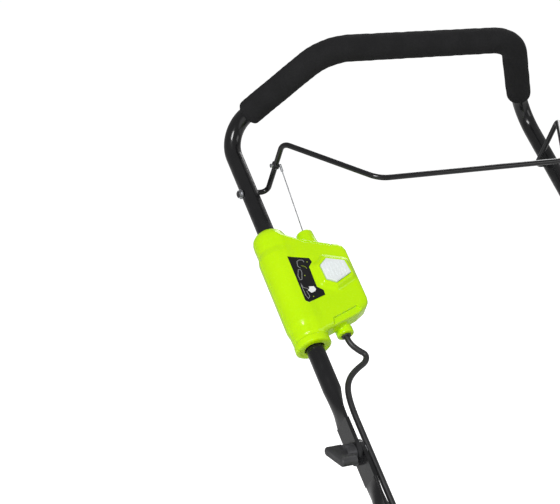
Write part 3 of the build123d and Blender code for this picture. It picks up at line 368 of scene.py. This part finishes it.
# ---------------------------------------------------------------- sculpted switch box
# The box is a signed distance field in millimetres, in the switch box's frame: x inward from
# the tube's axis, y up the tube, z out of the face. A net of quads is drawn over its zero level.
BOX_STEP = 0.8
FIELD_LOW = (-27.2, -244.8, -27.2)
FIELD_HIGH = (91.2, -63.2, 32.0)
CASE_OUTLINE = (
    (0, -79), (13.7, -83.5), (26, -90), (48, -98), (68, -104.5), (77, -106.5), (83, -110), (86, -117),
    (86, -191), (84.5, -197.5), (81, -202), (67, -210.5), (24, -225), (10, -229.5), (0, -230),
)
CASE_FACE = 22.0
CASE_BACK = -17.0
CASE_EDGE = 8.0                  # rounding of the case's front and back edges
FACE_DRAFT = 0.085               # the front half widens by this much for each millimetre down
BACK_TAPER = 0.6                 # and the rear half narrows by this much
SLEEVE_RADII = (
    (-241, 20.6), (-239.4, 22.8), (-232, 22.6), (-231, 21.2), (-229, 21.2), (-227, 22.0), (-217, 22.4),
    (-209, 24.0), (-108, 24.0), (-103, 22.8), (-99, 21.7), (-84, 22.0), (-78, 21.6), (-73.5, 20.0),
    (-70.5, 17.6), (-68, 14.6), (-67, 12.4),
)
SLEEVE_SINK = -1.5
BOSS_X, BOSS_Z = 49.5, 0.5
BOSS_RADII = ((-124, 15.5), (-104, 13.9), (-92, 12.2), (-84, 11.3), (-74.5, 10.8), (-73, 9.6))
GLAND_X, GLAND_Z = 49.0, -3.0
GLAND_RADII = ((-228, 9.6), (-226.8, 10.9), (-219, 10.9), (-217.5, 10.1), (-213, 10.2), (-203, 12.0))
HEXAGON = ((37, -141.3), (48, -132.6), (71.2, -138.9), (73.2, -157.4), (49.2, -168.9), (37.6, -162.6))
BEZEL_GROW = 9.0                 # the raised pad round the button, outward of it at the face
BEZEL_HEIGHT = 5.5
LABEL = (
    (2, -119), (30, -125), (31.5, -131), (25, -138), (24, -168), (31, -174), (30.5, -181), (4.5, -189),
    (1.5, -186),
)
LABEL_DEPTH = 0.8
LEDGE_DEPTH = 3.2
LEDGE = ((28.4, -214.6), (65.2, -201.9), (76, -210), (24, -240))
CREASE_HALF, CREASE_DEPTH = 1.0, 1.3
CREASE = ((25.5, -90), (28.5, -96), (35, -99.6), (50, -103.2), (67.6, -108.4), (68.6, -105.4))
CAVITY = (
    (16, -97), (26, -99), (73, -112), (81, -122), (81, -190), (60, -196), (24, -208), (16, -208),
)


def polygon_distance(x, y, corners):
    """Signed distance from the points to a polygon, negative inside."""
    nearest = np.full(x.shape, 1e9)
    inside = np.zeros(x.shape, bool)
    for (ax, ay), (bx, by) in zip(corners, corners[1:] + corners[:1]):
        ex, ey = bx - ax, by - ay
        along = np.clip(((x - ax) * ex + (y - ay) * ey) / (ex * ex + ey * ey), 0, 1)
        nearest = np.minimum(nearest, np.hypot(x - ax - along * ex, y - ay - along * ey))
        crosses = (ay > y) != (by > y)
        if ey:
            inside ^= crosses & (x < ex * (y - ay) / ey + ax)
    return np.where(inside, -nearest, nearest)


def line_distance(x, y, corners):
    """Distance from the points to an open polyline."""
    nearest = np.full(x.shape, 1e9)
    for (ax, ay), (bx, by) in zip(corners, corners[1:]):
        ex, ey = bx - ax, by - ay
        along = np.clip(((x - ax) * ex + (y - ay) * ey) / (ex * ex + ey * ey), 0, 1)
        nearest = np.minimum(nearest, np.hypot(x - ax - along * ex, y - ay - along * ey))
    return nearest


def join(a, b, soft):
    """The union of two fields, with a fillet where they meet."""
    mix = np.maximum(soft - np.abs(a - b), 0) / soft
    return np.minimum(a, b) - mix * mix * soft / 4


def cut(a, b, soft):
    """The first field less the second, with the edge between them rounded."""
    return -join(-a, b, soft)


def turned(x, y, z, centre_x, centre_z, radii, soft):
    """A turned form along y, whose radius follows a table."""
    heights, sizes = zip(*radii)
    side = np.hypot(x - centre_x, z - centre_z) - np.interp(y, heights, sizes)
    ends = np.maximum(y - heights[-1], heights[0] - y)
    return -join(-side, -ends, soft)


def box_field():
    axes = [np.arange(low, high, BOX_STEP) for low, high in zip(FIELD_LOW, FIELD_HIGH)]
    x, y, z = np.meshgrid(*axes, indexing="ij", sparse=True)
    flat = np.broadcast_arrays(x[:, :, 0], y[:, :, 0])
    plan = polygon_distance(*flat, CASE_OUTLINE)[:, :, None]
    draft = np.where(z > 0, (CASE_FACE - z) * FACE_DRAFT, CASE_FACE * FACE_DRAFT + z * BACK_TAPER)
    case = -join(-(plan - draft), -np.maximum(z - CASE_FACE, CASE_BACK - z), CASE_EDGE)
    sleeve = turned(x, y, z, 0, SLEEVE_SINK, SLEEVE_RADII, 1.6)
    field = join(case, sleeve, 5.0)
    field = join(field, turned(x, y, z, BOSS_X, BOSS_Z, BOSS_RADII, 1.5), 2.5)
    field = join(field, turned(x, y, z, GLAND_X, GLAND_Z, GLAND_RADII, 1.5), 2.0)
    hexagon = polygon_distance(*flat, HEXAGON)[:, :, None]
    slope = (hexagon - BEZEL_GROW + np.maximum(z - CASE_FACE, 0)) * 0.75
    bezel = np.maximum(-join(-slope, -(z - CASE_FACE - BEZEL_HEIGHT), 1.2), 16.0 - z)
    field = join(field, bezel, 2.2)
    ledge = np.maximum(polygon_distance(*flat, LEDGE)[:, :, None], CASE_FACE - LEDGE_DEPTH - z)
    field = np.maximum(field, -ledge)
    crease = np.maximum(line_distance(*flat, CREASE)[:, :, None] - CREASE_HALF, 8.0 - z)
    field = np.maximum(field, -np.maximum(crease, -(field + CREASE_DEPTH)))
    label = np.maximum(polygon_distance(*flat, LABEL)[:, :, None], CASE_FACE - LABEL_DEPTH - z)
    field = np.maximum(field, -label)
    pocket = np.maximum(hexagon - 0.4, 10.0 - z)
    field = np.maximum(field, -pocket)
    hollow = polygon_distance(*flat, CAVITY)[:, :, None]
    field = np.maximum(field, -np.maximum(hollow, np.maximum(z - 18.5, -13.0 - z)))
    # bores for the tube, the pull wire and the cable
    bore = np.hypot(x, z)
    flare = 11.5 + np.clip((-236.0 - y) * 0.4, 0, 1.2)
    field = np.maximum(field, flare - bore)
    wire_bore = np.hypot(x - BOSS_X, z) - 6.5
    field = np.maximum(field, -np.maximum(wire_bore, -114.0 - y))
    cable_bore = np.hypot(x - GLAND_X, z - GLAND_Z) - 6.0
    field = np.maximum(field, -np.maximum(cable_bore, y + 200.0))
    return field, axes


def net(field, axes):
    """Surface nets: one vertex in each cell that the zero level crosses, one quad over each crossed edge."""
    inside = field < 0
    size = np.array(field.shape) - 1
    total = np.zeros((*size, 3), np.float32)
    count = np.zeros(size, np.float32)
    for axis in range(3):
        for first in (0, 1):
            for second in (0, 1):
                offset = [first, second]
                offset.insert(axis, 0)
                start = tuple(slice(o, o + n) for o, n in zip(offset, size))
                offset[axis] = 1
                stop = tuple(slice(o, o + n) for o, n in zip(offset, size))
                a, b = field[start], field[stop]
                hit = inside[start] != inside[stop]
                share = np.where(hit, a / np.where(hit, a - b, 1), 0)
                for other in range(3):
                    if other == axis:
                        total[..., other] += share
                    else:
                        total[..., other] += hit * offset[other]
                count += hit
    live = count > 0
    number = np.full(size, -1)
    number[live] = np.arange(int(live.sum()))
    cell = np.argwhere(live)
    low = np.array([axis[0] for axis in axes])
    step = axes[0][1] - axes[0][0]
    points = low + (cell + total[live] / count[live][:, None]) * step
    quads = []
    for axis in range(3):
        ahead = np.roll(inside, -1, axis)
        for sign in (False, True):
            edge = (inside != ahead) & (inside == sign)
            index = np.argwhere(edge)
            keep = (index[:, axis] < size[axis]) & (index > 0).all(1) & (index < size).all(1)
            index = index[keep]
            u, v = [other for other in range(3) if other != axis]
            corners = []
            for du, dv in ((1, 1), (0, 1), (0, 0), (1, 0)):
                at = index.copy()
                at[:, u] -= du
                at[:, v] -= dv
                corners.append(number[tuple(at.T)])
            quad = np.stack(corners, 1)
            flip = (axis == 1) != sign
            quads.append(quad[:, ::-1] if flip else quad)
    return points, np.concatenate(quads)


def box_piece(name, field, axes, replaced):
    points, quads = net(field, axes)
    frame_axes = np.array([Vector((1, 0, 0)), UP_TUBE, OUT_OF_FACE])
    origin = np.array(box_point(0, 0, 0))
    mesh = bpy.data.meshes.new(name)
    mesh.from_pydata((origin + points * MM @ frame_axes).tolist(), [], quads.tolist())
    mesh.shade_smooth()
    piece = bpy.data.objects.new(name, mesh)
    bpy.context.scene.collection.objects.link(piece)
    mesh.materials.append(MATERIALS["lime_plastic"])
    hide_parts(replaced)
    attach(piece, "upper_handle")
    return piece


def make_switch_box():
    """The two shells, parted in the tube's plane with a fine rounded seam."""
    field, axes = box_field()
    z = axes[2][None, None, :]
    box_piece("switch_box_front", cut(field, z - 0.06, 0.25), axes, "box_front_shell")
    box_piece("switch_box_rear", cut(field, -0.06 - z, 0.25), axes, "box_rear_shell")


# ---------------------------------------------------------------- control cable
CABLE_D = 0.0075
BLADE_Y = JOINTS["blade_spin"]["pos_m"][1]


def deck_point(x, behind_blade, z):
    """A point over the deck, in millimetres, placed from the blade's axis."""
    return Vector((x * MM, BLADE_Y + behind_blade * MM, z * MM))


UPPER_RUN = [
    box_point(*place) for place in (
        (49, -230, -3), (49, -239, -3), (57, -250, -4), (66, -257, -5), (61, -267, -5), (47, -274, -4),
        (32, -284, -3), (21, -299, -2), (15.2, -325, 0), (15.2, -348, 0),
    )
]
FOLD_RUN = [box_point(15.2, along, 0) for along in (-348, -386, -424)]
LOWER_RUN = [
    box_point(*place) for place in (
        (15.2, -424, 0), (15.2, -520, 0), (17.2, -618, 0), (85.2, -748, 0), (85.2, -780, 0),
    )
]
DECK_RUN = [
    box_point(85.2, -780, 0), box_point(85.2, -803, 0), deck_point(-134, 238, 268),
    deck_point(-116, 205, 262), deck_point(-102, 178, 241), deck_point(-94, 158, 217),
    deck_point(-92, 139, 204),
]


def cord_line(name, route, bevel):
    """A curve object of one smooth NURBS spline with the route as its control points."""
    curve = bpy.data.curves.new(name, "CURVE")
    curve.dimensions = "3D"
    curve.resolution_u = 16
    curve.bevel_depth = bevel
    curve.bevel_resolution = 6
    curve.use_fill_caps = bevel > 0
    spline = curve.splines.new("NURBS")
    spline.points.add(len(route) - 1)
    for point, place in zip(spline.points, route):
        point.co = (*place, 1)
    spline.order_u = 3
    spline.use_endpoint_u = True
    spline.use_smooth = True
    line = bpy.data.objects.new(name, curve)
    bpy.context.scene.collection.objects.link(line)
    return line


def followed(route):
    """The points along a route's smooth line."""
    line = cord_line("route", route, 0)
    bpy.context.view_layer.update()
    mesh = bpy.data.meshes.new_from_object(line)
    path = [vertex.co.copy() for vertex in mesh.vertices]
    bpy.data.objects.remove(line)
    return path


def run_length(path):
    return sum((b - a).length for a, b in zip(path, path[1:]))


def make_cable():
    """The switch cable: two runs that ride with the tubes, and two spans across the folds, baked in place."""
    for name, route, body in (
        ("cable_upper", UPPER_RUN, "upper_handle"), ("cable_lower", LOWER_RUN, "lower_handle"),
    ):
        line = cord_line(name + "_cord", route, CABLE_D / 2)
        line.data.materials.append(MATERIALS["cable_sheath"])
        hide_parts(name)
        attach(line, body)
        run_length(followed(route))
    for name, route, bodies in (
        ("cable_fold_span", FOLD_RUN, ("upper_handle", "lower_handle")),
        ("cable_deck_span", DECK_RUN, ("lower_handle", "deck")),
    ):
        line = cord_line(name + "_line", route, CABLE_D / 2)
        bpy.context.view_layer.update()
        mesh = bpy.data.meshes.new_from_object(line)
        bpy.data.objects.remove(line)
        tube = bpy.data.objects.new(name + "_cord", mesh)
        bpy.context.scene.collection.objects.link(tube)
        mesh.materials.clear()
        mesh.materials.append(MATERIALS["cable_sheath"])
        mesh.shade_smooth()
        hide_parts(name)
        path = followed(route)
        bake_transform(tube)


# ---------------------------------------------------------------- foam grip
FOAM_LUMP = 0.00018              # height of the foam's slight lumps, in metres


def make_foam_grip():
    """The slit foam sleeve: the tube's shape remeshed, with the slight lumps of foam and softened ends."""
    mesh = frame["nodes"]["foam_grip"].data.copy()
    sleeve = bpy.data.objects.new("grip_foam", mesh)
    bpy.context.scene.collection.objects.link(sleeve)
    remesh = sleeve.modifiers.new("remesh", "REMESH")
    remesh.mode = "VOXEL"
    remesh.voxel_size = 0.0016
    smooth = sleeve.modifiers.new("smooth", "SMOOTH")
    smooth.iterations = 3
    bpy.context.view_layer.update()
    shaped = bpy.data.meshes.new_from_object(sleeve.evaluated_get(bpy.context.evaluated_depsgraph_get()))
    sleeve.modifiers.clear()
    sleeve.data = shaped
    count = len(shaped.vertices)
    place = np.empty(count * 3, np.float32)
    shaped.vertices.foreach_get("co", place)
    place = place.reshape(-1, 3)
    normal = np.empty(count * 3, np.float32)
    shaped.vertex_normals.foreach_get("vector", normal)
    normal = normal.reshape(-1, 3)
    lump = np.sin(place @ (210, 90, 40)) * np.sin(place @ (-60, 190, 150))
    lump = lump + 0.6 * np.sin(place @ (420, -380, 300))
    shaped.vertices.foreach_set("co", (place + normal * lump[:, None] * FOAM_LUMP).ravel())
    shaped.materials.clear()
    shaped.materials.append(MATERIALS["foam"])
    shaped.shade_smooth()
    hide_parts("foam_grip")
    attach(sleeve, "upper_handle")


# ---------------------------------------------------------------- grass bag
BAG_STEP = 3.5
BAG_FRONT = 335.0                # behind the blade's axis, in millimetres
BAG_HALF = 158.0
BAG_SIDE = (
    (0, 84), (0, 227), (60, 234), (326, 241), (346, 230), (352, 198), (303, 100), (280, 86), (64, 77),
)
BAG_SEAM = (
    (1, 220), (60, 227), (190, 231), (322, 234), (338, 226), (344, 198), (320, 150), (297, 104), (276, 94),
    (170, 86), (64, 84), (1, 91),
)
BAG_SEAM_INSET = 9.0             # from the widest part of the side panel
BAG_CORNER = 26.0
BAG_SAG, BAG_BOW = 7.0, 6.0      # of the floor, and of each side panel
CLOTH_T = 0.0016                 # in metres


def bag_field():
    """The hung bag: its side view and width, with soft corners, bowed panels and slack folds."""
    axes = [
        np.arange(-BAG_HALF - 14, BAG_HALF + 14, BAG_STEP),
        np.arange(-14, 366, BAG_STEP),
        np.arange(60, 256, BAG_STEP),
    ]
    x, y, z = np.meshgrid(*axes, indexing="ij", sparse=True)
    behind = np.clip(y / 300, 0, 1)
    sag = BAG_SAG * np.sin(np.pi * np.clip(y / 340, 0, 1)) * (1 - (x / BAG_HALF) ** 2) * (z < 160)
    side = polygon_distance(*np.broadcast_arrays(y[0], z[0]), BAG_SIDE)[None]
    side = side - sag * np.clip((150 - z) / 60, 0, 1)
    bow = np.sin(np.pi * np.clip((z - 84) / 150, 0, 1)) * np.sin(np.pi * np.clip(y / 345, 0, 1)) * BAG_BOW
    width = np.abs(x) - (BAG_HALF - 4) + 3.0 * behind - bow
    folds = 1.5 * np.sin(y / 17 + z / 38 + np.sin(z / 21)) * np.sin(np.pi * np.clip((z - 90) / 130, 0, 1))
    folds = folds * np.clip(y / 40, 0, 1) + 1.1 * np.sin(x / 23 + y / 47) * np.clip(y / 60, 0, 1)
    return -join(-(side - folds * 0.5), -(width - folds), BAG_CORNER), axes


def make_bag():
    """The open-mouthed cloth shell with its thickness, and the bound seams on it."""
    field, axes = bag_field()
    points, quads = net(field, axes)
    points[:, 1] = np.maximum(points[:, 1], 0.5)
    quads = quads[(points[quads, 1] > 1.0).any(1)]
    used = np.unique(quads)
    number = np.full(len(points), -1)
    number[used] = np.arange(len(used))
    place = points[used] * MM + (0, BLADE_Y + BAG_FRONT * MM, 0)
    mesh = bpy.data.meshes.new("bag_cloth_shell")
    mesh.from_pydata(place.tolist(), [], number[quads].tolist())
    shell = bpy.data.objects.new("bag_cloth_shell", mesh)
    bpy.context.scene.collection.objects.link(shell)
    smooth = shell.modifiers.new("smooth", "SMOOTH")
    smooth.iterations = 4
    thick = shell.modifiers.new("thickness", "SOLIDIFY")
    thick.thickness = CLOTH_T
    thick.offset = -1
    bpy.context.view_layer.update()
    shell.data = bpy.data.meshes.new_from_object(shell.evaluated_get(bpy.context.evaluated_depsgraph_get()))
    shell.modifiers.clear()
    shell.data.materials.append(MATERIALS["bag_cloth"])
    shell.data.shade_smooth()
    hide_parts("bag_fabric")
    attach(shell, "bag")
    for side in (-1, 1):
        make_bag_piping(side)


def make_bag_piping(side):
    """The bound seam down each side of the bag, where the side panel meets the wrap-round panel."""
    curve = bpy.data.curves.new("bag_seam", "CURVE")
    curve.dimensions = "3D"
    curve.bevel_depth = 0.0022
    curve.bevel_resolution = 4
    spline = curve.splines.new("NURBS")
    spline.points.add(len(BAG_SEAM) - 1)
    for point, (y, z) in zip(spline.points, BAG_SEAM):
        point.co = (side * (BAG_HALF - BAG_SEAM_INSET) * MM, BLADE_Y + (BAG_FRONT + y) * MM, z * MM, 1)
    spline.order_u = 3
    spline.use_endpoint_u = True
    seam = bpy.data.objects.new("bag_seam_" + ("left" if side > 0 else "right"), curve)
    bpy.context.scene.collection.objects.link(seam)
    curve.materials.append(MATERIALS["black_plastic"])
    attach(seam, "bag")


# ---------------------------------------------------------------- picture on the label
# Line corners in the switch box's frame, in millimetres.
HANDLE_SIGN = ((12.7, -138.3), (10.3, -134.8), (12.0, -127.8), (16.0, -126.2), (20.4, -127.4), (20.5, -130.2))
BAIL_SIGN = ((9.2, -140.1), (12.3, -141.0), (12.2, -145.0), (8.6, -155.0), (5.8, -155.4), (5.4, -149.0))
ARM_SIGN = ((4.8, -161.0), (5.6, -166.4), (11.2, -169.5))
LEG_SIGN = ((4.4, -163.5), (4.8, -178.6), (6.5, -183.5), (9.4, -180.6), (8.4, -172.5))
HAND_SIGN = (
    (10.2, -171.4), (13.2, -169.4), (13.6, -166.4), (20.1, -166.9), (21.5, -171.4), (19.3, -174.2),
    (13.6, -176.0),
)
DOT_SIGNS = ((25.0, -130.5), (14.5, -149.8), (14.2, -181.4))
ARC_SIGN = ((15.4, -135.2), (17.4, -135.8), (19.8, -137.2), (20.9, -140.2))


def stroke(corners, width=0.3, closed=False):
    """A printed line on the label, as an outline of quads just above it."""
    loop = list(corners) + ([corners[0], corners[1]] if closed else [])
    quads = []
    for (ax, ay), (bx, by) in zip(loop, loop[1:]):
        length = max(np.hypot(bx - ax, by - ay), 1e-6)
        nx, ny = (ay - by) / length * width, (bx - ax) / length * width
        tx, ty = (bx - ax) / length * width * 0.6, (by - ay) / length * width * 0.6
        quads.append(((ax - tx + nx, ay - ty + ny), (ax - tx - nx, ay - ty - ny),
                      (bx + tx - nx, by + ty - ny), (bx + tx + nx, by + ty + ny)))
    return quads


def make_print(name, shapes, material):
    """Flat printed shapes just above the label, which rides with the box."""
    places, faces = [], []
    for level, shape in enumerate(shapes):
        faces.append(list(range(len(places), len(places) + len(shape))))
        places += [box_point(x, y, CASE_FACE + 0.06 + 0.002 * (level % 5)) for x, y in shape]
    mesh = bpy.data.meshes.new(name)
    mesh.from_pydata([tuple(place) for place in places], [], faces)
    mesh.materials.append(material)
    piece = bpy.data.objects.new(name, mesh)
    bpy.context.scene.collection.objects.link(piece)
    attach(piece, "upper_handle")


def dot(x, y, size):
    return [(x + size * cos(2 * pi * i / 12), y + size * sin(2 * pi * i / 12)) for i in range(12)]


def make_label_print():
    """A simplified picture, after the photographed one: handle, bail and hand, with dots for figures."""
    white = stroke(HANDLE_SIGN) + stroke(BAIL_SIGN, closed=True) + stroke(ARM_SIGN) + stroke(LEG_SIGN)
    make_print("label_lines", white, PRINT_GREY)
    make_print("label_hand", [HAND_SIGN], PRINT_WHITE)
    green = [dot(x, y, 0.7) for x, y in DOT_SIGNS] + stroke(ARC_SIGN, 0.25)
    make_print("label_marks", green, PRINT_GREEN)


# ---------------------------------------------------------------- studio
AMBIENT = 0.32                   # the studio's even light; the backdrop itself is white
FLOOR_GLOW = 0.72                # makes the lit floor white to the camera, and lights nothing
SOFTBOXES = (                    # name, place, size, power
    ("key", (-2.2, -1.8, 2.8), (1.0, 1.4), 100),
    ("rim", (1.8, 2.2, 2.4), (1.2, 1.6), 26),
    ("fill", (2.4, -2.0, 1.6), (1.5, 1.5), 14),
)


def make_studio():
    floor_mesh = bpy.data.meshes.new("studio_floor")
    reach = 40.0
    corners = [(-reach, -reach, 0), (reach, -reach, 0), (reach, reach, 0), (-reach, reach, 0)]
    floor_mesh.from_pydata(corners, [], [(0, 1, 2, 3)])
    floor = bpy.data.objects.new("studio_floor", floor_mesh)
    bpy.context.scene.collection.objects.link(floor)
    recipe = Recipe("studio_floor", (0.93, 0.93, 0.93), 0.7)
    recipe.mix_color(recipe.ramp(recipe.noise(1.5, 2), 0.0, 0.2), (0.90, 0.90, 0.90))
    recipe.shader.inputs["Emission Color"].default_value = (1, 1, 1, 1)
    seen = recipe.node("ShaderNodeMath", operation="MULTIPLY")
    recipe.link(recipe.node("ShaderNodeLightPath").outputs["Is Camera Ray"], seen.inputs[0])
    seen.inputs[1].default_value = FLOOR_GLOW
    recipe.link(seen.outputs["Value"], recipe.shader.inputs["Emission Strength"])
    floor_mesh.materials.append(recipe.material)

    world = bpy.data.worlds.new("studio")
    world.use_nodes = True
    nodes = world.node_tree.nodes
    background = nodes["Background"]
    background.inputs["Color"].default_value = (1, 1, 1, 1)
    background.inputs["Strength"].default_value = AMBIENT
    backdrop = nodes.new("ShaderNodeBackground")
    backdrop.inputs["Color"].default_value = (1, 1, 1, 1)
    backdrop.inputs["Strength"].default_value = 1.0
    chooser = nodes.new("ShaderNodeMixShader")
    rays = nodes.new("ShaderNodeLightPath")
    links = world.node_tree.links
    links.new(rays.outputs["Is Camera Ray"], chooser.inputs["Fac"])
    links.new(background.outputs["Background"], chooser.inputs[1])
    links.new(backdrop.outputs["Background"], chooser.inputs[2])
    links.new(chooser.outputs["Shader"], nodes["World Output"].inputs["Surface"])
    bpy.context.scene.world = world

    middle = Vector((0, 0.1, 0.6))
    for name, place, size, power in SOFTBOXES:
        light = bpy.data.lights.new(name, "AREA")
        light.shape = "RECTANGLE"
        light.size, light.size_y = size
        light.energy = power
        lamp = bpy.data.objects.new(name, light)
        lamp.location = place
        lamp.rotation_euler = (middle - Vector(place)).to_track_quat("-Z", "Y").to_euler()
        bpy.context.scene.collection.objects.link(lamp)
    bpy.context.scene.view_settings.view_transform = "Standard"


make_camera()
make_cable()
dress_cad_nodes()
make_switch_box()
make_label_print()
make_foam_grip()
make_bag()
make_studio()
